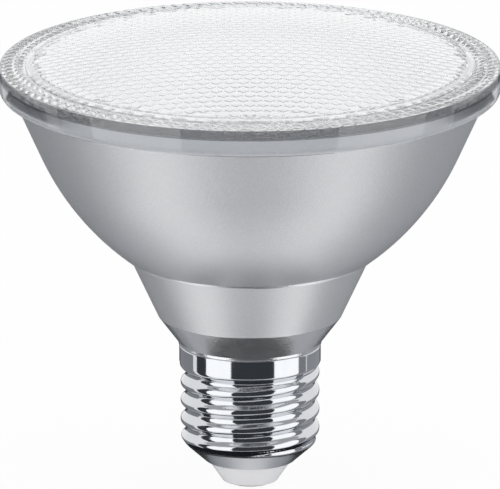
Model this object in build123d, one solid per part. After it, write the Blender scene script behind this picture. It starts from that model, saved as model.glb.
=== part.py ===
from build123d import *
import os
from math import cos, pi, radians, sin, sqrt, tan

# Par spotlight bulb, in millimetres. The bulb stands on its screw cap, so +Z points out of the lens.
# The origin is the middle of the centre contact's flat face.

# Fits
fit_gap = 0.15                  # radial room between pieces that slide together
screw_gap = 0.2                 # radial room of a screw or lead in a clearance hole
pilot_gap = 0.05                # radial room of a screw in its pilot hole

# Screw cap: a 27 mm lamp cap, rolled from sheet
cap_height = 27.5               # contact face to the top of the collar
collar_height = 3.3
collar_proud = 0.25             # collar beyond the thread's crest
collar_step = 0.05              # fold between the last turn and the collar
collar_edge = 0.3
thread_pitch = 3.629
thread_major = 26.4
thread_depth = 0.95
shell_wall = 0.45               # measured along the radius
cone_mouth_diameter = 17.4
cone_mouth_height = 4.8
cone_angle = 48.0               # cone wall to the axis
cone_round = 1.2                # blend from the last turn into the cone

# Insulator and centre contact
insulator_tip_diameter = 10.4
insulator_edge = 0.4
contact_diameter = 9.5
contact_flat = 6.4              # flat face that meets the holder's spring
contact_head = 0.55
stem_diameter = 2.6
stem_proud = 0.7                # riveted end above the insulator

# Neck housing
neck_lower_height = 5.8
neck_upper_height = 11.8
neck_foot_step = 0.15           # neck beyond the collar
neck_foot_lip = 0.6
neck_foot_edge = 0.2
waist_diameter = 35.0
neck_diameter = 46.0
neck_wall = 2.2                 # measured along the radius
neck_edge = 0.5
waist_round = 1.2
spigot_room = 2.5               # between the insulator and the spigot's end
spigot_wall = 1.4
spigot_shoulder = 2.7           # wider part of the spigot, inside the collar
post_diameter = 4.6
rail_depth = 1.8
rail_width = 1.2
rail_floor = 2.0

# Bowl
bowl_height = 34.9
bowl_wall = 1.2
bowl_angle = 24.3               # straight part of the wall to the axis
bowl_cone_height = 12.2
foot_overhang = 0.7             # bowl beyond the top of the neck
rim_band = 2.6
post_room = 0.5                 # room round the screw posts in the bowl's foot
foot_round = 0.8

# Clear lens
lens_diameter = 95.0
lens_plate = 2.0
skirt_wall = 2.05
skirt_height = 5.4
skirt_round = 1.8
lens_edge = 0.5
band_width = 5.9                # disc to the lens's outside
disc_rise = 0.7                 # disc's edge above the rim
disc_step = 0.8                 # sloped step from the disc's edge to the band
dome_rise = 4.0                 # disc's middle above its edge
band_rise = 0.45                # raised band between the disc and the rim
band_sink = 0.3                 # band's root inside the plate
lobe_count = 112                # one for each row of cells round the band
lobe_depth = 0.45
lobe_edge = 0.75                # tips of the lobes to the lens's outside

# Heat spreader and light source
spreader_thickness = 3.0
spreader_rim_height = 5.0
spreader_rim_wall = 2.0
module_side = 13.5
module_thickness = 1.5
module_notch = 1.6
pad_thickness = 0.5
phosphor_diameter = 9.4
phosphor_thickness = 0.6
phosphor_edge = 0.25
holder_diameter = 26.0
holder_height = 4.0
holder_aperture = 11.0
holder_mouth = 14.6
holder_edge = 0.6
holder_ceiling = 0.1            # room above the module

# Reflector
reflector_lip = 2.15            # flat ring between the mouth and the bowl
reflector_wall = 1.2
reflector_plate = 1.2
reflector_flange = 0.8
reflector_aperture = 16.0

# Screws
screw_diameter = 3.0
screw_head = 5.2
screw_head_height = 1.8
screw_dome = 0.6
screw_slot = 0.7
screw_slot_depth = 0.9
spreader_screw_length = 9.0
head_room = 0.6                 # between the holder and the screw heads round it
spreader_screw_angles = (30, 150, 270)
holder_screw_length = 5.6
holder_screw_edge = 0.4         # holder outside its screw heads
holder_screw_angles = (0, 180)

# Driver
board_thickness = 1.0
board_height = 30.0
board_side_gap = 0.65           # board's tail to the spigot
board_head_rise = 2.5           # cap's top to the foot of the wide head
board_head_gap = 0.75           # wide head to the neck
seat_gap = 0.1                  # solder height under a part on the board
capacitor_diameter = 8.0
capacitor_length = 12.0
capacitor_groove = 0.4
capacitor_groove_height = 1.6
capacitor_across = 0.0
capacitor_up = 2.0
film_width = 7.2
film_depth = 4.5
film_height = 9.0
film_edge = 0.5
film_across = -3.4
film_up = 4.0
choke_diameter = 5.4
choke_height = 5.2
choke_flange = 0.8
choke_waist = 4.0
choke_across = 3.4
choke_up = 8.0
fuse_diameter = 3.2
fuse_length = 8.0
fuse_cap = 1.4
fuse_cap_step = 0.15
fuse_across = -5.6
fuse_up = 6.0
core_width = 15.0
core_depth = 5.0
core_leg = 4.0
core_side = 1.8
core_yoke = 2.2
core_window = 8.0
coil_depth = 9.6
coil_edge = 0.8
transformer_up = 17.8
rectifier_size = (4.8, 2.4, 4.0)
rectifier_up = 19.0
chip_size = (3.9, 1.5, 4.9)
chip_up = 25.0
pin_size = (0.9, 0.25, 0.45)
pin_pitch = 1.27
lead_diameter = 1.0
lead_bend = 1.0
live_lead_reach = 3.0           # soldered length on the board
neutral_lead_across = -6.0
neutral_lead_reach = 4.0
neutral_lead_drop = 0.9         # below the spigot's end
led_lead_across = 4.0
led_lead_reach = 6.0
led_lead_circle = 9.8           # distance of the lead holes behind the axis
led_lead_bend = 3.0
led_lead_insert = 2.6           # length inside the holder

# Heights of the assembly, from the contact upwards
shell_slope = tan(radians(cone_angle))
thread_root = thread_major / 2 - thread_depth
thread_end = cone_mouth_height + (thread_root - cone_mouth_diameter / 2) / shell_slope
collar_foot = cap_height - collar_height
stem_top = thread_end + stem_proud
spigot_foot = thread_end + spigot_room
rail_foot = spigot_foot + rail_floor
waist = cap_height + neck_lower_height
neck_top = waist + neck_upper_height
foot_top = neck_top + bowl_wall
rim_top = neck_top + bowl_height
band_foot = rim_top - rim_band
bowl_tangent = band_foot - bowl_cone_height
lens_top = rim_top + lens_plate
skirt_foot = lens_top - skirt_height
spreader_top = foot_top + spreader_thickness
module_foot = spreader_top + pad_thickness
module_top = module_foot + module_thickness
phosphor_top = module_top + phosphor_thickness
holder_top = spreader_top + holder_height
board_foot = rail_foot
board_top = board_foot + board_height

# Radii that several pieces share
collar_radius = thread_major / 2 + collar_proud
mouth_radius = cone_mouth_diameter / 2
skirt_inside = lens_diameter / 2 - skirt_wall
rim_radius = skirt_inside - fit_gap
disc_radius = lens_diameter / 2 - band_width
spigot_radius = thread_root - shell_wall - fit_gap
spigot_inside = spigot_radius - spigot_wall
shoulder_foot = cap_height - spigot_shoulder
lead_hole = lead_diameter / 2 + screw_gap
board_face = board_thickness / 2
board_tail = spigot_inside - board_side_gap
spreader_screw_circle = holder_diameter + screw_head + 2 * head_room
holder_screw_circle = holder_diameter - screw_head - 2 * holder_screw_edge
foot_opening = spreader_screw_circle + post_diameter + 2 * post_room

# Circle of the bowl's curved lower wall, from the foot to the straight wall, with no corner there
bowl_slope = radians(bowl_angle)
tangent_radius = rim_radius - bowl_cone_height * tan(bowl_slope)
arc_run = tangent_radius - neck_diameter / 2 - foot_overhang
arc_rise = bowl_tangent - neck_top
arc_lean = arc_run * cos(bowl_slope) - arc_rise * sin(bowl_slope)
bowl_arc_radius = (arc_run ** 2 + arc_rise ** 2) / (2 * arc_lean)
arc_centre_radius = tangent_radius - bowl_arc_radius * cos(bowl_slope)
arc_centre_height = bowl_tangent + bowl_arc_radius * sin(bowl_slope)


def turned(outline, rounds=()):
    """Solid turned about Z. The outline is in (radius, height); each round is a corner and its radius."""
    face = make_face(outline)
    for corner, size in rounds:
        face = fillet(face.vertices().sort_by_distance(corner)[0], size)
    return revolve(Plane.XZ * face, Axis.Z)


def post(diameter, foot, top, centre=(0, 0)):
    """Upright round bar between two heights."""
    bar = Cylinder(diameter / 2, top - foot, align=(Align.CENTER, Align.CENTER, Align.MIN))
    return Pos(centre[0], centre[1], foot) * bar


def around(circle, angles):
    """Points on a circle of this diameter about the axis."""
    return [(circle / 2 * cos(radians(a)), circle / 2 * sin(radians(a))) for a in angles]


def lead(points, bend):
    """Round wire along straight runs joined by arcs."""
    path = FilletPolyline(*points, radius=bend)
    section = Plane(path @ 0, z_dir=path % 0) * Circle(lead_diameter / 2)
    return sweep(section, path)


def lead_holes(foot, top):
    """The two holes for the leads that go up to the light source."""
    centres = [(led_lead_across, -led_lead_circle), (-led_lead_across, -led_lead_circle)]
    return [post(2 * lead_hole, foot, top, centre) for centre in centres]


def screw(centre, seat, length):
    """Pan-head screw with a cross slot, whose head rests at the seat height."""
    head_top = seat + screw_head_height
    head = post(screw_head, seat, head_top)
    head = fillet(head.edges().sort_by(Axis.Z)[-1], screw_dome)
    slot = Box(screw_head, screw_slot, 2 * screw_slot_depth)
    cross = Pos(0, 0, head_top) * (slot + Rot(0, 0, 90) * slot)
    cross = cross & post(screw_head - 2 * screw_dome, seat, head_top + screw_slot_depth)
    return Pos(*centre) * (head - cross + post(screw_diameter, seat - length, seat))


def smooth_step(low, high, value):
    """0 below low, 1 above high, and a smooth rise between them."""
    t = min(max((value - low) / (high - low), 0), 1)
    return t * t * (3 - 2 * t)


def smooth_least(a, b, width):
    """The lesser of two values, with the corner between them rounded."""
    near = max(width - abs(a - b), 0) / width
    return min(a, b) - near * near * width / 4


def groove_depth(offset):
    """Depth of the rolled thread below its crest: two equal arcs, tangent on the flank."""
    half = thread_pitch / 2
    arc = (half ** 2 + thread_depth ** 2) / (4 * thread_depth)
    from_crest = abs((offset + half) % thread_pitch - half)
    if from_crest < half / 2:
        return arc - sqrt(arc ** 2 - from_crest ** 2)
    return thread_depth - arc + sqrt(arc ** 2 - (half - from_crest) ** 2)


def shell_radius(height, turn):
    """Outside of the threaded wall at a height, and at a fraction of a turn about the axis."""
    half = thread_pitch / 2
    run_out = smooth_step(collar_foot - half, collar_foot, height)
    crest = thread_major / 2 + (collar_proud - collar_step) * run_out
    crest = smooth_least(crest, mouth_radius + (height - cone_mouth_height) * shell_slope, cone_round)
    fade = smooth_step(thread_end, thread_end + half, height) * (1 - run_out)
    return crest - fade * groove_depth(height - thread_pitch * turn)


def shell_section(turn, rows=40):
    """Closed section of the cone and the threaded wall, in a half plane through the axis."""
    steps = [i / rows for i in range(rows + 1)]
    heights = [cone_mouth_height + (collar_foot - cone_mouth_height) * step for step in steps]
    side = Vector(cos(2 * pi * turn), sin(2 * pi * turn), 0)
    outside = [side * shell_radius(z, turn) + Vector(0, 0, z) for z in heights]
    inside = [point - side * shell_wall for point in reversed(outside)]
    return Wire([
        Edge.make_spline(outside, parameters=steps),
        Line(outside[-1], inside[0]),
        Edge.make_spline(inside, parameters=steps),
        Line(inside[-1], outside[0]),
    ])


def screw_shell(sections=10):
    """Sheet shell: a rolled right-hand thread, lofted as two half turns, under a plain collar."""
    collar = post(2 * collar_radius, collar_foot, cap_height)
    collar = fillet(collar.edges().sort_by(Axis.Z)[-1], collar_edge)
    shell = collar - post(2 * (collar_radius - shell_wall), collar_foot, cap_height)
    for half in range(2):
        wires = [shell_section((half + i / sections) / 2) for i in range(sections + 1)]
        shell += Solid.make_loft(wires)
    return shell


def cap_insulator():
    """Insulating cone, held in the shell's mouth by the plug above it."""
    bore = stem_diameter / 2 + pilot_gap
    neck = mouth_radius - shell_wall - fit_gap
    tip = (insulator_tip_diameter / 2, contact_head)
    outline = Polyline(
        (bore, contact_head),
        tip,
        (neck, cone_mouth_height),
        (thread_root - shell_wall - fit_gap, thread_end),
        (bore, thread_end),
        close=True,
    )
    return turned(outline, [(tip, insulator_edge)])


def centre_contact():
    """Domed disc with a flat face and a riveted stem."""
    rim = (contact_diameter / 2, contact_head)
    flat = (contact_flat / 2, 0)
    dome = TangentArc(flat, rim, tangent=(1, 0))
    stem = stem_diameter / 2
    rest = Polyline(rim, (stem, contact_head), (stem, stem_top), (0, stem_top), (0, 0), flat)
    return turned([dome, rest])


def neck_housing():
    """Moulded neck with a steeper lower cone, board rails, screw posts and a spigot for the shell."""
    shoulder = collar_radius - shell_wall - fit_gap
    foot = collar_radius + neck_foot_step
    foot_corner = (foot, cap_height)
    waist_corner = (waist_diameter / 2, waist)
    top_corner = (neck_diameter / 2, neck_top)
    outline = Polyline(
        (spigot_inside, spigot_foot),
        (spigot_radius, spigot_foot),
        (spigot_radius, shoulder_foot),
        (shoulder, shoulder_foot),
        (shoulder, cap_height),
        foot_corner,
        (foot, cap_height + neck_foot_lip),
        waist_corner,
        top_corner,
        (neck_diameter / 2 - neck_wall, neck_top),
        (waist_diameter / 2 - neck_wall, waist),
        (spigot_inside, shoulder_foot),
        close=True,
    )
    rounds = [(foot_corner, neck_foot_edge), (waist_corner, waist_round), (top_corner, neck_edge)]
    body = turned(outline, rounds)
    body += board_rails()
    flare = (neck_diameter - waist_diameter) / 2 / neck_upper_height
    reach = (spreader_screw_circle + post_diameter) / 2
    post_foot = waist + (reach + neck_wall / 3 - waist_diameter / 2) / flare
    for centre in around(spreader_screw_circle, spreader_screw_angles):
        body += post(post_diameter, post_foot, foot_top, centre)
        bore_foot = spreader_top - spreader_screw_length - screw_gap
        body -= post(screw_diameter + 2 * pilot_gap, bore_foot, foot_top, centre)
    return body


def board_rails():
    """Two pairs of ribs with a floor, inside the spigot, that hold the board's long edges."""
    inner = board_tail - rail_depth / 2
    length = spigot_inside + spigot_wall / 4 - inner
    slot = board_thickness + 2 * fit_gap
    seat = (Align.MIN, Align.CENTER, Align.MIN)
    rib = Box(length, slot + 2 * rail_width, shoulder_foot - spigot_foot, align=seat)
    cut = Box(length, slot, shoulder_foot - rail_foot, align=seat)
    rail = Pos(inner, 0, spigot_foot) * rib - Pos(inner, 0, rail_foot) * cut
    return rail + Rot(0, 0, 180) * rail


def bowl_radius(height, inset=0):
    """Radius of the bowl's outer face, or of the face that lies inset inside it."""
    if height < bowl_tangent + inset * sin(bowl_slope):
        return arc_centre_radius + sqrt((bowl_arc_radius - inset) ** 2 - (arc_centre_height - height) ** 2)
    straight = tangent_radius - inset / cos(bowl_slope) + (height - bowl_tangent) * tan(bowl_slope)
    return min(straight, rim_radius - inset)


def bowl_arc(low, high, inset):
    """Arc of the bowl's curved wall between two heights."""
    heights = (low, (low + high) / 2, high)
    return ThreePointArc(*[(bowl_radius(z, inset), z) for z in heights])


def bowl_shell():
    """Pressed bowl: in-turned foot, curved wall, straight wall and an upright rim band."""
    inside_tangent = bowl_tangent + bowl_wall * sin(bowl_slope)
    inside_band = rim_radius - bowl_wall
    inside_straight = tangent_radius - bowl_wall / cos(bowl_slope)
    inside_band_foot = bowl_tangent + (inside_band - inside_straight) / tan(bowl_slope)
    outer = bowl_arc(neck_top, bowl_tangent, 0)
    inner = bowl_arc(foot_top, inside_tangent, bowl_wall)
    wall = Polyline(
        outer @ 1,
        (rim_radius, band_foot),
        (rim_radius, rim_top),
        (inside_band, rim_top),
        (inside_band, inside_band_foot),
        inner @ 1,
    )
    foot = Polyline(inner @ 0, (foot_opening / 2, foot_top), (foot_opening / 2, neck_top), outer @ 0)
    return turned([outer, wall, inner, foot], [(outer @ 0, foot_round)])


def lobed_band():
    """Raised band round the disc, whose outer edge is a ring of small convex lobes."""
    tip = lens_diameter / 2 - lobe_edge
    root = tip - lobe_depth
    pitch = 360 / lobe_count

    def at(radius, angle):
        return (radius * cos(radians(angle)), radius * sin(radians(angle)))

    lobes = []
    for i in range(lobe_count):
        start, end = at(root, (i - 0.5) * pitch), at(root, (i + 0.5) * pitch)
        lobes.append(ThreePointArc(start, at(tip, i * pitch), end))
    ring = make_face(lobes) - Circle(disc_radius + disc_step)
    return Pos(0, 0, lens_top - band_sink) * extrude(ring, amount=band_rise + band_sink)


def lens_cap():
    """Clear front: domed disc, lobed band, plate and a skirt that drops over the bowl's rim."""
    radius = lens_diameter / 2
    disc = (disc_radius, lens_top + disc_rise)
    step_foot = (disc_radius + disc_step, lens_top)
    rim = (radius, lens_top)
    skirt = RadiusArc((radius, skirt_foot + skirt_round), (radius - skirt_round, skirt_foot), -skirt_round)
    dome = TangentArc((0, lens_top + disc_rise + dome_rise), disc, tangent=(1, 0))
    hollow = TangentArc((0, rim_top + dome_rise), (disc_radius - lens_plate, rim_top), tangent=(1, 0))
    outside = Polyline(disc, step_foot, rim, skirt @ 0)
    inside = Polyline(skirt @ 1, (skirt_inside, skirt_foot), (skirt_inside, rim_top), hollow @ 1)
    middle = Line(hollow @ 0, dome @ 0)
    return turned([skirt, inside, hollow, middle, dome, outside], [(rim, lens_edge)]) + lobed_band()


def heat_spreader():
    """Turned dish that carries the light source's heat into the bowl."""
    near = bowl_wall + fit_gap
    far = near + spreader_rim_wall
    rim_height = spreader_top + spreader_rim_height
    outer = bowl_arc(foot_top, rim_height, near)
    inner = bowl_arc(spreader_top, rim_height, far)
    base = Polyline(inner @ 0, (0, spreader_top), (0, foot_top), outer @ 0)
    dish = turned([outer, Line(outer @ 1, inner @ 1), inner, base])
    for centre in around(spreader_screw_circle, spreader_screw_angles):
        dish -= post(screw_diameter + 2 * screw_gap, foot_top, spreader_top, centre)
    for centre in around(holder_screw_circle, holder_screw_angles):
        dish -= post(screw_diameter + 2 * pilot_gap, foot_top, spreader_top, centre)
    for hole in lead_holes(foot_top, spreader_top):
        dish -= hole
    return dish


def square_plate(side, foot, top):
    """Square plate centred on the axis, between two heights."""
    plate = Box(side, side, top - foot, align=(Align.CENTER, Align.CENTER, Align.MIN))
    return Pos(0, 0, foot) * plate


def led_module():
    """Square substrate with one corner cut to show its polarity."""
    plate = square_plate(module_side, module_foot, module_top)
    corner = plate.edges().filter_by(Axis.Z).sort_by_distance((module_side, module_side, module_foot))[0]
    return chamfer(corner, module_notch)


def phosphor_disc():
    """Round light-giving face with a soft edge."""
    disc = post(phosphor_diameter, module_top, phosphor_top)
    return fillet(disc.edges().sort_by(Axis.Z)[-1], phosphor_edge)


def led_holder():
    """Clamp ring over the module: square pocket, flared aperture, screw holes and lead sockets."""
    edge = (holder_diameter / 2, holder_top)
    ceiling = module_top + holder_ceiling
    outline = Polyline(
        (holder_aperture / 2, spreader_top),
        (holder_diameter / 2, spreader_top),
        edge,
        (holder_mouth / 2, holder_top),
        (holder_aperture / 2, ceiling),
        close=True,
    )
    ring = turned(outline, [(edge, holder_edge)])
    ring -= square_plate(module_side + 2 * fit_gap, spreader_top, ceiling)
    for centre in around(holder_screw_circle, holder_screw_angles):
        ring -= post(screw_diameter + 2 * screw_gap, spreader_top, holder_top, centre)
        ring -= post(screw_head + 2 * screw_gap, holder_top - screw_head_height, holder_top, centre)
    for hole in lead_holes(spreader_top, spreader_top + led_lead_insert + seat_gap):
        ring -= hole
    return ring


def reflector_radius(height):
    """Parabola with its focus on the light source and its mouth at the bowl's rim."""
    rise = rim_top - phosphor_top
    mouth = rim_radius - bowl_wall - fit_gap - reflector_lip
    focal = (sqrt(rise ** 2 + mouth ** 2) - rise) / 2
    return sqrt(4 * focal * (height - phosphor_top + focal))


def reflector_curve(low, high, offset, points=5):
    """Spline of the reflector's wall between two heights."""
    heights = [low + (high - low) * i / (points - 1) for i in range(points)]
    return Spline(*[(reflector_radius(z) + offset, z) for z in heights])


def reflector():
    """Metallised reflector: flat base ring on the holder, parabolic wall and a flange under the lens."""
    flange_foot = rim_top - reflector_flange
    flange = rim_radius - bowl_wall - fit_gap
    inner = reflector_curve(holder_top + reflector_plate, rim_top, 0)
    outer = reflector_curve(holder_top, flange_foot, reflector_wall)
    lip = Polyline(inner @ 1, (flange, rim_top), (flange, flange_foot), outer @ 1)
    aperture = reflector_aperture / 2
    base = Polyline(outer @ 0, (aperture, holder_top), (aperture, holder_top + reflector_plate), inner @ 0)
    return turned([inner, lip, outer, base])


def driver_board():
    """Circuit board with a narrow tail in the spigot and a wide head in the neck."""
    step = cap_height + board_head_rise
    flare = (waist_diameter / 2 - neck_wall - spigot_inside) / (waist - shoulder_foot)
    head = spigot_inside + flare * (step - shoulder_foot) - board_head_gap
    half = [(board_tail, board_foot), (board_tail, step), (head, step), (head, board_top)]
    outline = Polyline(*half, *[(-x, z) for x, z in reversed(half)], close=True)
    return extrude(Plane.XZ * make_face(outline), amount=board_face, both=True)


def on_board(solid, across, up, side):
    """Stands a solid, drawn with its seat at y = 0, on the board's +Y (1) or -Y (-1) face."""
    turn = Rot(0, 0, 0 if side > 0 else 180)
    return Pos(across, side * (board_face + seat_gap), board_foot + up) * (turn * solid)


def lying_can(diameter, length, profile):
    """Turned body that lies along the board with its side on it."""
    return Pos(0, diameter / 2, 0) * turned(profile)


def bulk_capacitor():
    """Can with a rolled groove near its sealed end."""
    radius = capacitor_diameter / 2
    low = capacitor_groove_height - capacitor_groove
    high = capacitor_groove_height + capacitor_groove
    deepest = (radius - capacitor_groove, capacitor_groove_height)
    groove = ThreePointArc((radius, low), deepest, (radius, high))
    rest = Polyline(
        (radius, high), (radius, capacitor_length), (0, capacitor_length), (0, 0), (radius, 0), (radius, low)
    )
    can = lying_can(capacitor_diameter, capacitor_length, [groove, rest])
    return on_board(can, capacitor_across, capacitor_up, -1)


def fuse_resistor():
    """Round body with a raised cap at each end."""
    cap = fuse_diameter / 2
    body = cap - fuse_cap_step
    outline = Polyline(
        (0, 0),
        (cap, 0),
        (cap, fuse_cap),
        (body, fuse_cap),
        (body, fuse_length - fuse_cap),
        (cap, fuse_length - fuse_cap),
        (cap, fuse_length),
        (0, fuse_length),
        close=True,
    )
    return on_board(lying_can(fuse_diameter, fuse_length, outline), fuse_across, fuse_up, -1)


def film_capacitor():
    """Potted box with soft edges."""
    box = Box(film_width, film_depth, film_height, align=(Align.CENTER, Align.MIN, Align.MIN))
    box = fillet(box.edges().filter_by(Axis.Y), film_edge)
    return on_board(box, film_across, film_up, 1)


def input_choke():
    """Wound drum core that stands on the board."""
    rim = choke_diameter / 2
    waist_radius = choke_waist / 2
    outline = Polyline(
        (0, 0),
        (rim, 0),
        (rim, choke_flange),
        (waist_radius, choke_flange),
        (waist_radius, choke_height - choke_flange),
        (rim, choke_height - choke_flange),
        (rim, choke_height),
        (0, choke_height),
        close=True,
    )
    return on_board(Rot(-90, 0, 0) * turned(outline), choke_across, choke_up, 1)


def transformer_core():
    """Two ferrite E halves, glued to one frame with a middle leg."""
    height = core_window + 2 * core_yoke
    window = core_width / 2 - core_side - core_leg / 2
    middle = (core_leg + window) / 2
    frame = Box(core_width, core_depth, height)
    gap = Box(window, core_depth, core_window)
    frame -= Pos(middle, 0, 0) * gap
    frame -= Pos(-middle, 0, 0) * gap
    return on_board(Pos(0, coil_depth / 2, height / 2) * frame, 0, transformer_up, 1)


def transformer_coil():
    """Taped winding that fills the core's windows and stands on the board."""
    height = core_window - 2 * fit_gap
    width = core_width - 2 * core_side - 2 * fit_gap
    block = fillet(Box(width, coil_depth, height).edges().filter_by(Axis.Z), coil_edge)
    block -= Box(core_leg + 2 * fit_gap, core_depth + 2 * fit_gap, height)
    middle = core_yoke + core_window / 2
    return on_board(Pos(0, coil_depth / 2, middle) * block, 0, transformer_up, 1)


def small_package(size, pins, up):
    """Moulded package with a row of pins on each side."""
    width, depth, height = size
    body = Box(width, depth, height, align=(Align.CENTER, Align.MIN, Align.MIN))
    pin = Box(*pin_size, align=(Align.MIN, Align.MIN, Align.CENTER))
    for i in range(pins):
        level = height / 2 + (i - (pins - 1) / 2) * pin_pitch
        body += Pos(width / 2, 0, level) * pin
        body += Pos(-width / 2 - pin_size[0], 0, level) * pin
    return on_board(body, 0, up, -1)


def live_lead():
    """Lead from the contact's stem to the board's front face."""
    out = board_face + lead_diameter / 2 + seat_gap
    top = board_foot + live_lead_reach
    points = [
        (0, 0, stem_top),
        (0, 0, stem_top + lead_bend),
        (0, out, board_foot - lead_bend / 2),
        (0, out, top),
    ]
    return lead(points, lead_bend)


def neutral_lead():
    """Lead from the shell, under the spigot's end, to the board's back face."""
    out = -(board_face + lead_diameter / 2 + seat_gap)
    level = spigot_foot - neutral_lead_drop
    top = board_foot + neutral_lead_reach
    side = lead_diameter / 2
    reach = min(shell_radius(level + step, 0.5) for step in (-side, 0, side)) - shell_wall - fit_gap
    points = [
        (-sqrt(reach ** 2 - (abs(out) + side) ** 2), out, level),
        (neutral_lead_across, out, level),
        (neutral_lead_across, out, top),
    ]
    return lead(points, lead_bend)


def led_leads():
    """Two leads from the board's back face, through the spreader, into the holder."""
    out = -(board_face + lead_diameter / 2 + seat_gap)
    leave = board_top - led_lead_bend
    top = spreader_top + led_lead_insert
    pair = []
    for x in (led_lead_across, -led_lead_across):
        points = [
            (x, out, leave - led_lead_reach),
            (x, out, leave),
            (x, -led_lead_circle, foot_top - led_lead_bend),
            (x, -led_lead_circle, top),
        ]
        pair.append(lead(points, led_lead_bend))
    return Compound(children=pair)


def screws(circle, angles, seat, length):
    """Group of equal screws on a circle."""
    return Compound(children=[screw(centre, seat, length) for centre in around(circle, angles)])


holder_screw_seat = holder_top - screw_head_height
nodes = {
    "screw_shell": screw_shell(),
    "cap_insulator": cap_insulator(),
    "centre_contact": centre_contact(),
    "neck_housing": neck_housing(),
    "bowl_shell": bowl_shell(),
    "lens_cap": lens_cap(),
    "reflector": reflector(),
    "heat_spreader": heat_spreader(),
    "thermal_pad": square_plate(module_side, spreader_top, module_foot),
    "led_module": led_module(),
    "phosphor_disc": phosphor_disc(),
    "led_holder": led_holder(),
    "holder_screws": screws(holder_screw_circle, holder_screw_angles, holder_screw_seat, holder_screw_length),
    "spreader_screws": screws(
        spreader_screw_circle, spreader_screw_angles, spreader_top, spreader_screw_length
    ),
    "driver_board": driver_board(),
    "bulk_capacitor": bulk_capacitor(),
    "film_capacitor": film_capacitor(),
    "transformer_core": transformer_core(),
    "transformer_coil": transformer_coil(),
    "input_choke": input_choke(),
    "rectifier": small_package(rectifier_size, 2, rectifier_up),
    "driver_chip": small_package(chip_size, 4, chip_up),
    "fuse_resistor": fuse_resistor(),
    "live_lead": live_lead(),
    "neutral_lead": neutral_lead(),
    "led_leads": led_leads(),
}

os.makedirs("parts", exist_ok=True)
for name, solid in nodes.items():
    export_step(solid, f"parts/{name}.step")
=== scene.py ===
from math import atan2, cos, pi, radians, sin, sqrt, tan

import bmesh
import bpy
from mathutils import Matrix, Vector
from mathutils.geometry import delaunay_2d_cdt


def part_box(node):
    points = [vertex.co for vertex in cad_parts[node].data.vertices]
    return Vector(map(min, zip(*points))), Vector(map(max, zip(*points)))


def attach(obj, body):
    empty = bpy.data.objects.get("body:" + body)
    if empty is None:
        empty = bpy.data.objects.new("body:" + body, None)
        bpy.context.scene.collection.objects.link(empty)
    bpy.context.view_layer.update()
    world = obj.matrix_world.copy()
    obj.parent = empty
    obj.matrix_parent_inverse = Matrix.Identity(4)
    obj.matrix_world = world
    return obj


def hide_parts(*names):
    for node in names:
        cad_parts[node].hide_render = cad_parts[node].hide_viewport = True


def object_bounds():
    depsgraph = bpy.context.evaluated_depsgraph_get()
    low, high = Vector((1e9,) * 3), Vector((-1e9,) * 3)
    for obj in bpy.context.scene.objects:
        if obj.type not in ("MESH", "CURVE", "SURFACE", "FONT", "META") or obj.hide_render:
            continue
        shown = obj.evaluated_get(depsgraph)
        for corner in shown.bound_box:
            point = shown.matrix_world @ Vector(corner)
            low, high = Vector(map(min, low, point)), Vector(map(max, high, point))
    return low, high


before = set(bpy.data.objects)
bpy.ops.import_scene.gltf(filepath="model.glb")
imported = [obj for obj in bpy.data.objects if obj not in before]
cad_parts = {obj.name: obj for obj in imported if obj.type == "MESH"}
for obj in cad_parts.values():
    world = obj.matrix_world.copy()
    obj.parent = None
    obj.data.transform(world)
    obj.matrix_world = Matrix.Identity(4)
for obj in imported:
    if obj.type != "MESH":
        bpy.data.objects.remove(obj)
solid_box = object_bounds()


# Centre contact
# A small domed disc that the lamp holder's spring presses on, riveted through the insulator.
# It is pressed from nickel-plated brass, so it is smooth but lightly scuffed.

MM = 0.001
grain_detail = 4.0
finish_blend = 0.2
black_loss = "#101214"


def linear(colour):
    """Linear RGBA of an sRGB hex colour."""
    channels = [int(colour[i:i + 2], 16) / 255 for i in (1, 3, 5)]
    return [c / 12.92 if c <= 0.04045 else ((c + 0.055) / 1.055) ** 2.4 for c in channels] + [1.0]


def add(tree, kind, inputs, **settings):
    """Adds a node. A socket given as an input is linked, and any other value is set."""
    made = tree.nodes.new(kind)
    for name, value in settings.items():
        setattr(made, name, value)
    for name, value in inputs.items():
        if isinstance(value, bpy.types.NodeSocket):
            tree.links.new(value, made.inputs[name])
        else:
            made.inputs[name].default_value = value
    return made


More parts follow.
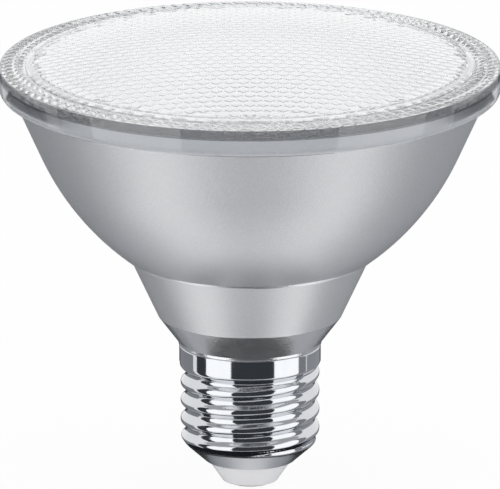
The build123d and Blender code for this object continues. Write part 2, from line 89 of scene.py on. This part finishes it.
def surface(name, light, dark, grain, rough, relief=0.0, below=None, loss=0.0, **shader):
    """Material whose colour, gloss and relief vary with a grain. Grain and relief are in millimetres.

    The grain is noise on Object coordinates. Where below gives a height and a roughness, they hold under it.
    A clear material loses a share of its light, the loss, on each millimetre, and all colours alike.
    The shader's fixed sockets follow.
    """
    material = bpy.data.materials.new(name)
    material.use_nodes = True
    tree = material.node_tree
    tree.nodes.clear()
    place = add(tree, "ShaderNodeTexCoord", {}).outputs["Object"]
    inputs = {"Vector": place, "Scale": 1 / (grain * MM), "Detail": grain_detail}
    level = add(tree, "ShaderNodeTexNoise", inputs).outputs["Fac"]
    shades = {"Factor": level, "A": linear(dark), "B": linear(light)}
    tint = add(tree, "ShaderNodeMix", shades, data_type="RGBA")
    gloss = add(tree, "ShaderNodeMapRange", {"Value": level, "To Min": rough[0], "To Max": rough[1]})
    gloss = gloss.outputs["Result"]
    if below:
        limit, lower_gloss = below
        height = add(tree, "ShaderNodeSeparateXYZ", {"Vector": place}).outputs["Z"]
        edge = {"From Min": (limit - finish_blend) * MM, "From Max": (limit + finish_blend) * MM}
        upper = add(tree, "ShaderNodeMapRange", {"Value": height, **edge}).outputs["Result"]
        gloss = add(tree, "ShaderNodeMix", {"Factor": upper, "A": lower_gloss, "B": gloss}).outputs["Result"]
    inputs = {"Base Color": tint.outputs["Result"], "Roughness": gloss}
    if relief:
        bump = add(tree, "ShaderNodeBump", {"Height": level, "Distance": relief * MM})
        inputs["Normal"] = bump.outputs["Normal"]
    inputs.update(shader)
    body = add(tree, "ShaderNodeBsdfPrincipled", inputs)
    ends = {"Surface": body.outputs["BSDF"]}
    if loss:
        inputs = {"Color": linear(black_loss), "Density": loss / MM}
        ends["Volume"] = add(tree, "ShaderNodeVolumeAbsorption", inputs).outputs["Volume"]
    add(tree, "ShaderNodeOutputMaterial", ends)
    return material


def dress(node, material):
    """Gives a CAD node's own solid its finish."""
    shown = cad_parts[node]
    shown.data.materials.clear()
    shown.data.materials.append(material)


dress("centre_contact", surface(
    "nickel_plated_brass", "#CFCBC4", "#B4B0A8", grain=1.5, rough=(0.18, 0.34), relief=0.01, Metallic=1.0))


# Cap insulator
# A white cone that keeps the contact apart from the shell, moulded in place under the shell's mouth.
# Its glassy thermoset is slightly glossy, with a faint cloudiness.

dress("cap_insulator", surface(
    "white_thermoset", "#F8F8FA", "#F4F4F7", grain=2.0, rough=(0.3, 0.36)))


# Screw shell
# The cap's outer contact, a thin brass sheet rolled to a round thread and plated with bright nickel.
# Polished rolls leave it mirror-like along the thread, and duller on the cone that is crimped last.

crimped_cone_top = 8.5
crimped_cone_rough = 0.32
dress("screw_shell", surface(
    "bright_nickel_plate", "#DADCDF", "#CFD1D5", grain=3.0, rough=(0.05, 0.1),
    below=(crimped_cone_top, crimped_cone_rough), Metallic=1.0))


# Neck housing
# The moulded neck between the cap and the bowl, sprayed with satin silver lacquer.
# The lacquer's flakes give a fine even grain, drawn coarser than it is so that it shows. It lies smoother
# on the steep cone next to the cap.

steep_cone_top = 33.3
steep_cone_rough = 0.14
dress("neck_housing", surface(
    "satin_silver_lacquer", "#EAEBED", "#D2D3D6", grain=0.3, rough=(0.3, 0.42), relief=0.03,
    below=(steep_cone_top, steep_cone_rough), Metallic=0.9))


# Bowl
# The lamp's body and cooler, pressed from aluminium sheet, with an upright band at its rim.
# A fine blasted and clear-coated surface gives it a soft shine. Its grain is drawn coarser than it is, so
# that it shows.

dress("bowl_shell", surface(
    "satin_aluminium", "#EEEFF1", "#D6D7DA", grain=0.35, rough=(0.34, 0.46), relief=0.05, Metallic=1.0))


# Driver
# The circuit board that stands in the neck with its parts, and the leads to the cap and the light source.
# Each is a bought part in its usual coating: the laminate is satin, sleeves and tape are glossy, and resin
# and ferrite are dull.

dress("driver_board", surface("glass_epoxy_laminate", "#2F6B45", "#24573A", grain=0.6, rough=(0.35, 0.5)))
dress("bulk_capacitor", surface("printed_sleeve_film", "#26282C", "#1D1F22", grain=1.0, rough=(0.25, 0.35)))
dress("film_capacitor", surface("potting_box_plastic", "#C9A33B", "#B8922F", grain=1.2, rough=(0.35, 0.5)))
dress("transformer_core", surface("sintered_ferrite", "#3B3B3D", "#2E2E30", grain=0.4, rough=(0.5, 0.7)))
dress("transformer_coil", surface("polyester_tape", "#D9B53A", "#CFA92E", grain=2.0, rough=(0.2, 0.35)))
dress("input_choke", surface("shrink_sleeve", "#1E2023", "#151618", grain=1.0, rough=(0.4, 0.55)))
dress("rectifier", surface("moulding_resin", "#232325", "#1A1A1C", grain=0.2, rough=(0.5, 0.65)))
dress("driver_chip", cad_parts["rectifier"].data.materials[0])
dress("fuse_resistor", surface("flameproof_lacquer", "#6FA08F", "#5E8E7E", grain=0.8, rough=(0.4, 0.55)))
lead_skin = surface("silicone_lead_insulation", "#E9E7E2", "#DDDBD5", grain=0.8, rough=(0.4, 0.5))
for lead in ("live_lead", "neutral_lead", "led_leads"):
    dress(lead, lead_skin)


# Heat spreader and light source
# A turned aluminium dish in the bowl's foot carries the light source under a white clamp ring.
# The dish is bare turned metal, and the light source is a yellow phosphor face on a white-coated plate.

dress("heat_spreader", surface(
    "turned_aluminium", "#C9CACC", "#B7B8BA", grain=0.6, rough=(0.25, 0.4), Metallic=1.0))
dress("thermal_pad", surface("filled_silicone_pad", "#8E9AA6", "#7F8B97", grain=0.5, rough=(0.6, 0.8)))
dress("led_module", surface("white_coated_aluminium", "#F1F1EE", "#E6E6E2", grain=0.5, rough=(0.4, 0.6)))
dress("phosphor_disc", surface("phosphor_silicone", "#F2D34A", "#E8C433", grain=0.4, rough=(0.35, 0.5)))
dress("led_holder", surface("white_polyester_moulding", "#F3F3F1", "#E9E9E6", grain=0.8, rough=(0.35, 0.5)))
screw_finish = surface("zinc_plated_steel", "#C8C9C6", "#B2B3AF", grain=0.8, rough=(0.25, 0.4), Metallic=1.0)
for screws in ("holder_screws", "spreader_screws"):
    dress(screws, screw_finish)


# Reflector
# A moulded parabolic dish behind the lens, vacuum coated with aluminium on its inside.
# The coat is a bright mirror with a faint orange-peel from the plastic below it.

dress("reflector", surface(
    "vacuum_coated_aluminium", "#FEFEFF", "#FBFBFC", grain=4.0, rough=(0.12, 0.2), relief=0.01, Metallic=1.0))


# Lens
# The clear front, moulded in one piece and bonded to the bowl's rim: a domed disc of small lens cells, a
# polished slope and step, a band of pebbles with a lobed edge, and a skirt with a lip over the rim.
# Polished polycarbonate is clear and sparkling, and greyer where one looks along its depth. Painted shade
# greys its colour darkly on the plate's upright edge, and lightly on the skirt's outside.

low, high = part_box("lens_cap")
lens_radius = high.x / MM
skirt_foot = low.z / MM
skirt_inside = 45.45
skirt_clearance = 0.1
plate_foot = 80.05
rim_land = 82.0
disc_height = 82.7
disc_radius = 41.4
dome_rise = high.z / MM - disc_height
hollow_radius = 39.6
hollow_steps = 10
slope_foot = (42.6, 82.35)
step_outside = 42.65
skirt_round = 0.8
lip_height = 0.4
lip_radius = 46.1
rim_round = 0.2
cell_pitch = 2.5
cell_rise = 0.2
cell_inset = cell_pitch / 12
cell_clearance = cell_pitch / 3
dome_steps = ((0.36, 0.8), (0.39, 0.625), (0.21, 0.4))
pebble_count = 118
pebble_rows = 2
pebble_pitch = 1.82
pebble_rise = 0.4
lobe_tip = 47.15
pebble_reach = 2 / 3
merge_distance = 1e-6
sharp_angle = 35
round_steps = 6
turn_steps = 240


def dome(radius, edge):
    """Height of the domed disc above its edge at a radius."""
    ball = (edge ** 2 + dome_rise ** 2) / (2 * dome_rise)
    return sqrt(ball ** 2 - radius ** 2) - ball + dome_rise


def on_circle(radius, share, height):
    """Point at a share of a turn, with sizes in millimetres."""
    angle = 2 * pi * share
    return Vector((radius * cos(angle), radius * sin(angle), height)) * MM


def cell_lattice():
    """Net of triangles on the dome. Its points, in level rows, are the middles of the disc's cells."""
    edge = disc_radius - cell_inset
    row = cell_pitch * sqrt(3) / 2
    reach = int(edge / row) + 1
    spots = []
    for j in range(-reach, reach + 1):
        for i in range(-reach, reach + 1):
            spot = Vector(((i + j % 2 / 2) * cell_pitch, j * row))
            if spot.length < edge - cell_clearance:
                spots.append(spot)
    count = round(2 * pi * edge / cell_pitch)
    spots += [Vector((edge * cos(2 * pi * i / count), edge * sin(2 * pi * i / count))) for i in range(count)]
    flat, _, faces = delaunay_2d_cdt(spots, [], [], 0, merge_distance)[:3]
    base = disc_height - cell_rise / 2
    points = [Vector((s.x, s.y, base + dome(s.length, disc_radius))) * MM for s in flat]
    return points, faces


def pebble_lattice(count, rows, pitch, tip, height):
    """Flat staggered net of triangles. Its inner points are the middles of the band's pebbles."""
    last = tip - pitch * pebble_reach
    points, faces = [], []
    for j in range(rows + 2):
        radius = last - pitch * (rows - j)
        points += [on_circle(radius, (i + (rows - j) % 2 / 2) / count, height) for i in range(count)]
    for j in range(rows + 1):
        for i in range(count):
            a, b = j * count + i, j * count + (i + 1) % count
            shift = (rows - j) % 2
            c, d = (j + 1) * count + (i + shift) % count, (j + 1) * count + (i + shift + 1) % count
            if shift:
                faces += [(a, c, b), (b, c, d)]
            else:
                faces += [(a, d, b), (a, c, d)]
    return points, faces


def domes():
    """Node tree that turns a net of triangles into a field of domes, one round each point of the net.

    Each step of a dome takes a share of its rise and a scale of its top face.
    """
    tree = bpy.data.node_groups.new("lens_cells", "GeometryNodeTree")
    sockets = {"Net": "Geometry", "Rise": "Float", "Cut cells": "Bool", "Material": "Material"}
    for name, kind in sockets.items():
        tree.interface.new_socket(name=name, in_out="INPUT", socket_type=f"NodeSocket{kind}")
    tree.interface.new_socket(name="Cells", in_out="OUTPUT", socket_type="NodeSocketGeometry")
    given = tree.nodes.new("NodeGroupInput").outputs
    cells = add(tree, "GeometryNodeDualMesh", {"Mesh": given["Net"], "Keep Boundaries": given["Cut cells"]})
    mesh, top = cells.outputs["Dual Mesh"], None
    for share, shrink in dome_steps:
        lift = add(tree, "ShaderNodeMath", {0: given["Rise"], 1: share}, operation="MULTIPLY")
        inputs = {"Mesh": mesh, "Offset Scale": lift.outputs["Value"], "Individual": True}
        if top:
            inputs["Selection"] = top
        raised = add(tree, "GeometryNodeExtrudeMesh", inputs, mode="FACES")
        top = raised.outputs["Top"]
        inputs = {"Geometry": raised.outputs["Mesh"], "Selection": top, "Scale": shrink}
        mesh = add(tree, "GeometryNodeScaleElements", inputs, domain="FACE").outputs["Geometry"]
    smooth = add(tree, "GeometryNodeSetShadeSmooth", {"Geometry": mesh})
    real = add(tree, "GeometryNodeRealizeInstances", {"Geometry": smooth.outputs["Geometry"]})
    inputs = {"Geometry": real.outputs["Geometry"], "Material": given["Material"]}
    done = add(tree, "GeometryNodeSetMaterial", inputs)
    add(tree, "NodeGroupOutput", {"Cells": done.outputs["Geometry"]})
    return tree


def field_of_domes(tree, net, **values):
    """Plain mesh that the node tree makes of a net."""
    mesh = bpy.data.meshes.new("net")
    mesh.from_pydata(net[0], [], net[1])
    carrier = bpy.data.objects.new("net", mesh)
    bpy.context.collection.objects.link(carrier)
    modifier = carrier.modifiers.new("cells", "NODES")
    modifier.node_group = tree
    for item in tree.interface.items_tree:
        if item.name in values:
            modifier[item.identifier] = values[item.name]
    evaluated = carrier.evaluated_get(bpy.context.evaluated_depsgraph_get())
    made = bpy.data.meshes.new_from_object(evaluated)
    bpy.data.objects.remove(carrier)
    return made


def paint_edge_shade(material, rim_shade, skirt_shade):
    """Paints shade, as grey in a clear material's colour, on the plate's upright edge and the skirt's
    outside.
    """
    tree = material.node_tree
    body = tree.nodes["Principled BSDF"]
    clear = body.inputs["Base Color"].links[0].from_socket
    place = add(tree, "ShaderNodeTexCoord", {}).outputs["Object"]
    height = add(tree, "ShaderNodeSeparateXYZ", {"Vector": place}).outputs["Z"]
    level = add(tree, "ShaderNodeVectorMath", {0: place, 1: (1, 1, 0)}, operation="MULTIPLY")
    level = level.outputs["Vector"]
    radius = add(tree, "ShaderNodeVectorMath", {0: level}, operation="LENGTH").outputs["Value"]
    above = add(tree, "ShaderNodeMath", {0: height, 1: plate_foot * MM}, operation="GREATER_THAN")
    upper = above.outputs["Value"]
    starts = {"To Min": (skirt_inside + skirt_clearance) * MM, "To Max": (lens_radius - rim_round) * MM}
    start = add(tree, "ShaderNodeMapRange", {"Value": upper, **starts}).outputs["Result"]
    outer = add(tree, "ShaderNodeMath", {0: radius, 1: start}, operation="GREATER_THAN").outputs["Value"]
    shade_greys = {"Factor": upper, "A": linear(skirt_shade), "B": linear(rim_shade)}
    painted_grey = add(tree, "ShaderNodeMix", shade_greys, data_type="RGBA").outputs["Result"]
    tint = add(tree, "ShaderNodeMix", {"Factor": outer, "A": clear, "B": painted_grey}, data_type="RGBA")
    tree.links.new(tint.outputs["Result"], body.inputs["Base Color"])


clear_lens = surface(
    "clear_polycarbonate", "#FFFFFF", "#F7F9FA", grain=6.0, rough=(0.02, 0.05), loss=0.003,
    **{"Transmission Weight": 1.0, "IOR": 1.585})
# Painted shade: dark grey on the plate's upright edge, light grey on the skirt's outside.
paint_edge_shade(clear_lens, "#76787C", "#DFE1E4")
dome_tree = domes()
cell_net = cell_lattice()
pebble_net = pebble_lattice(pebble_count, pebble_rows, pebble_pitch, lobe_tip, rim_land)
disc_cells = field_of_domes(
    dome_tree, cell_net, **{"Rise": cell_rise * MM, "Cut cells": True, "Material": clear_lens})
band_pebbles = field_of_domes(
    dome_tree, pebble_net, **{"Rise": pebble_rise * MM, "Cut cells": False, "Material": clear_lens})

shape = bmesh.new()


def open_loops():
    """The mesh's open edges, as loops ordered from the axis outwards."""
    left = {edge for edge in shape.edges if edge.is_boundary}
    loops = []
    while left:
        found = [left.pop()]
        loop = set(found)
        while found:
            for vert in found.pop().verts:
                for edge in vert.link_edges:
                    if edge in left:
                        left.remove(edge)
                        loop.add(edge)
                        found.append(edge)
        loops.append(loop)
    return sorted(loops, key=lambda loop: max(v.co.xy.length for e in loop for v in e.verts))


def turned_rings(outline):
    """Skin turned about the axis through (radius, height) points, open at both ends."""
    rings = []
    for radius, height in outline:
        rings.append([shape.verts.new(on_circle(radius, i / turn_steps, height)) for i in range(turn_steps)])
    for a, b in zip(rings, rings[1:]):
        for i in range(turn_steps):
            j = (i + 1) % turn_steps
            shape.faces.new((a[i], a[j], b[j], b[i]))
    return rings


def sew(inner, outer):
    """Strip of triangles between two open loops round the axis, in the order of their points' angles."""
    rows = []
    for loop in (inner, outer):
        verts = {v for edge in loop for v in edge.verts}
        row = sorted(((atan2(v.co.y, v.co.x), v) for v in verts), key=lambda turn: turn[0])
        first_angle, first_vert = row[0]
        rows.append(row + [(first_angle + 2 * pi, first_vert)])
    a, b = rows
    i = j = 0
    while i + 1 < len(a) or j + 1 < len(b):
        if j + 1 == len(b) or i + 1 < len(a) and a[i + 1][0] < b[j + 1][0]:
            shape.faces.new((a[i][1], b[j][1], a[i + 1][1]))
            i += 1
        else:
            shape.faces.new((a[i][1], b[j][1], b[j + 1][1]))
            j += 1


def quarter(centre, radius, start):
    """Points of a quarter round, clockwise from an angle in degrees."""
    angles = [radians(start - 90 * i / round_steps) for i in range(round_steps + 1)]
    return [(centre[0] + radius * cos(a), centre[1] + radius * sin(a)) for a in angles]


shape.from_mesh(disc_cells)
turned_rings([(disc_radius, disc_height), slope_foot, (step_outside, rim_land)])
shape.from_mesh(band_pebbles)
outside = quarter((lens_radius - rim_round, rim_land - rim_round), rim_round, 90)
outside += quarter((lens_radius - skirt_round, skirt_foot + lip_height + skirt_round), skirt_round, 0)
outside += [(lip_radius, skirt_foot + lip_height), (lip_radius, skirt_foot)]
outside += [(skirt_inside, skirt_foot), (skirt_inside, plate_foot)]
hollow = [hollow_radius * (1 - i / hollow_steps) for i in range(hollow_steps)]
outside += [(radius, plate_foot + dome(radius, hollow_radius)) for radius in hollow]
rings = turned_rings(outside)
middle = shape.verts.new((0, 0, (plate_foot + dome_rise) * MM))
for i in range(turn_steps):
    shape.faces.new((rings[-1][i], rings[-1][(i + 1) % turn_steps], middle))
loops = open_loops()
for inner, outer in zip(loops[0::2], loops[1::2]):
    sew(inner, outer)
bmesh.ops.recalc_face_normals(shape, faces=shape.faces)
lens_mesh = bpy.data.meshes.new("clear_front")
shape.to_mesh(lens_mesh)
shape.free()
lens_mesh.materials.clear()
lens_mesh.materials.append(clear_lens)
lens_mesh.polygons.foreach_set("material_index", [0] * len(lens_mesh.polygons))
lens_mesh.polygons.foreach_set("use_smooth", [True] * len(lens_mesh.polygons))
lens_mesh.set_sharp_from_angle(angle=radians(sharp_angle))
lens = bpy.data.objects.new("clear_front", lens_mesh)
bpy.context.collection.objects.link(lens)
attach(lens, "root")
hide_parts("lens_cap")


# Floor
# A plain sweep under the bulb, painted matt white. It shows as white and keeps the bulb's soft shadow,
# and the metal and the glass look through it to the room.

floor_half = 4.0
white_share = 0.93
floor_mesh = bpy.data.meshes.new("floor")
corners = [(-floor_half, -floor_half, 0), (floor_half, -floor_half, 0),
           (floor_half, floor_half, 0), (-floor_half, floor_half, 0)]
floor_mesh.from_pydata(corners, [], [(0, 1, 2, 3)])
floor = bpy.data.objects.new("floor", floor_mesh)
bpy.context.collection.objects.link(floor)
floor.visible_glossy = False
floor.visible_transmission = False
paint = bpy.data.materials.new("white_sweep_paint")
paint.use_nodes = True
tree = paint.node_tree
tree.nodes.clear()
matt = add(tree, "ShaderNodeBsdfDiffuse", {"Color": linear("#F6F6F6")})
white = add(tree, "ShaderNodeEmission", {"Color": linear("#FFFFFF"), "Strength": 1.0})
seen = add(tree, "ShaderNodeLightPath", {}).outputs["Is Camera Ray"]
share = add(tree, "ShaderNodeMath", {0: seen, 1: white_share}, operation="MULTIPLY")
inputs = {0: share.outputs["Value"], 1: matt.outputs["BSDF"], 2: white.outputs["Emission"]}
mixed = add(tree, "ShaderNodeMixShader", inputs)
add(tree, "ShaderNodeOutputMaterial", {"Surface": mixed.outputs["Shader"]})
floor_mesh.materials.append(paint)


# Studio light
# Two tall soft boxes stand to the front left and front right in a white room. Grey and dark cards stand
# between and beyond them. Most show only in reflections, for the metal's dark bands, and two only through
# the glass, for its dark ends.

box_distance = 0.7
box_height = 1.0
box_radiance = 0.4
card_distance = 1.0
bulb_middle = (solid_box[0].z + solid_box[1].z) / 2
room_level = 0.95
shade_inside = 12.0
shade_outside = 23.0
shade_depth = 2.0
shade_steps = 48
dark_card = "#3C3F44"
grey_card = "#8A8C90"


def soft_box(name, start, end):
    """Area lamp that spans the angles from start to end, in degrees to the right of the camera."""
    middle = radians((start + end) / 2)
    lamp = bpy.data.lights.new(name, "AREA")
    lamp.shape = "RECTANGLE"
    lamp.size = 2 * box_distance * tan(radians(end - start) / 2)
    lamp.size_y = box_height
    lamp.energy = box_radiance * pi * lamp.size * lamp.size_y
    holder = bpy.data.objects.new(name, lamp)
    bpy.context.collection.objects.link(holder)
    holder.location = (box_distance * sin(middle), -box_distance * cos(middle), bulb_middle)
    holder.rotation_euler = (radians(90), 0, middle)
    holder.visible_camera = False
    holder.visible_transmission = False


def card(name, points, faces, colour, shows_in):
    """Sheet of one plain brightness that shows only in reflections, or only through the glass."""
    mesh = bpy.data.meshes.new(name)
    mesh.from_pydata(points, [], faces)
    holder = bpy.data.objects.new(name, mesh)
    bpy.context.collection.objects.link(holder)
    holder.visible_camera = False
    holder.visible_diffuse = False
    holder.visible_shadow = False
    holder.visible_glossy = shows_in == "reflections"
    holder.visible_transmission = shows_in == "glass"
    material = bpy.data.materials.new(name)
    material.use_nodes = True
    tree = material.node_tree
    tree.nodes.clear()
    glow = add(tree, "ShaderNodeEmission", {"Color": linear(colour), "Strength": 1.0})
    add(tree, "ShaderNodeOutputMaterial", {"Surface": glow.outputs["Emission"]})
    mesh.materials.append(material)


def curved_card(name, sides, levels, colour, shows_in="reflections"):
    """Card on a sphere round the bulb.

    The sides are angles to the right of the camera, and the levels angles above the horizon, in degrees.
    """
    across, up = 24, 12
    points, faces = [], []
    for j in range(up + 1):
        level = radians(levels[0] + (levels[1] - levels[0]) * j / up)
        for i in range(across + 1):
            side = radians(sides[0] + (sides[1] - sides[0]) * i / across)
            x, y, z = sin(side) * cos(level), -cos(side) * cos(level), sin(level)
            points.append(Vector((x, y, z)) * card_distance + Vector((0, 0, bulb_middle)))
    for j in range(up):
        for i in range(across):
            a = j * (across + 1) + i
            faces.append((a, a + across + 1, a + across + 2, a + 1))
    card(name, points, faces, colour, shows_in)


soft_box("left_soft_box", -76, -31)
soft_box("right_soft_box", 40, 86)
curved_card("front_gap", (-31, 40), (-40, 50), dark_card)
curved_card("left_flag", (-97, -76), (-46, 40), dark_card)
curved_card("right_flag", (86, 104), (-54, 40), grey_card)
curved_card("low_right", (106, 158), (-44, -10), "#9A9CA0")
curved_card("low_back", (158, 202), (-44, -10), "#4E5156")
curved_card("low_left", (202, 254), (-44, -10), "#8C8E92")
curved_card("low_ground", (106, 254), (-66, -44), "#A6A8AC")
curved_card("ceiling", (-180, 180), (42, 90), "#B4B5B8")
curved_card("front_ground", (-40, 40), (-90, -45), "#C2C3C7")
curved_card("left_edge", (-150, -97), (-60, 0), dark_card, "glass")
curved_card("right_edge", (104, 150), (-60, 0), dark_card, "glass")
# A dark ring just under the floor is what the cap's underside reflects, in place of the bulb's shadow.
shade_points, shade_faces = [], []
for shade_radius in (shade_inside, shade_outside):
    shade_points += [on_circle(shade_radius, i / shade_steps, -shade_depth) for i in range(shade_steps)]
for i in range(shade_steps):
    j = (i + 1) % shade_steps
    shade_faces.append((i, j, shade_steps + j, shade_steps + i))
card("cap_shade", shade_points, shade_faces, "#1E2024", "reflections")

world = bpy.data.worlds.new("white_room")
bpy.context.scene.world = world
world.use_nodes = True
tree = world.node_tree
tree.nodes.clear()
path = add(tree, "ShaderNodeLightPath", {}).outputs
seen = path["Is Camera Ray"]
for kind in ("Is Glossy Ray", "Is Transmission Ray"):
    seen = add(tree, "ShaderNodeMath", {0: seen, 1: path[kind]}, operation="MAXIMUM").outputs["Value"]
level = add(tree, "ShaderNodeMapRange", {"Value": seen, "To Min": room_level, "To Max": 1.0})
room = add(tree, "ShaderNodeBackground", {"Color": linear("#FFFFFF"), "Strength": level.outputs["Result"]})
add(tree, "ShaderNodeOutputWorld", {"Surface": room.outputs["Background"]})

# Light bounces many times inside the clear front before it leaves.
bpy.context.scene.cycles.max_bounces = 32
bpy.context.scene.cycles.glossy_bounces = 24
bpy.context.scene.cycles.transmission_bounces = 28


# Camera
# It looks slightly down on the bulb from far away through a long lens, so that upright lines stay upright.
# Its place gives the picture's scale in pixels to the millimetre and the height at the picture's middle.

image_width = 500
pixels_per_mm = 5.268
elevation = 15.57
sight_height = 46.82
distance = 3.9
sensor = 36.0
view_depth = 20.0
optics = bpy.data.cameras.new("camera")
optics.sensor_width = sensor
optics.lens = pixels_per_mm / MM * distance * sensor / image_width
optics.clip_end = view_depth
camera = bpy.data.objects.new("camera", optics)
bpy.context.collection.objects.link(camera)
lift = radians(elevation)
camera.location = (0.0, -distance * cos(lift), sight_height * MM + distance * sin(lift))
camera.rotation_euler = (radians(90) - lift, 0, 0)
bpy.context.scene.camera = camera
bpy.context.scene.view_settings.view_transform = "Standard"
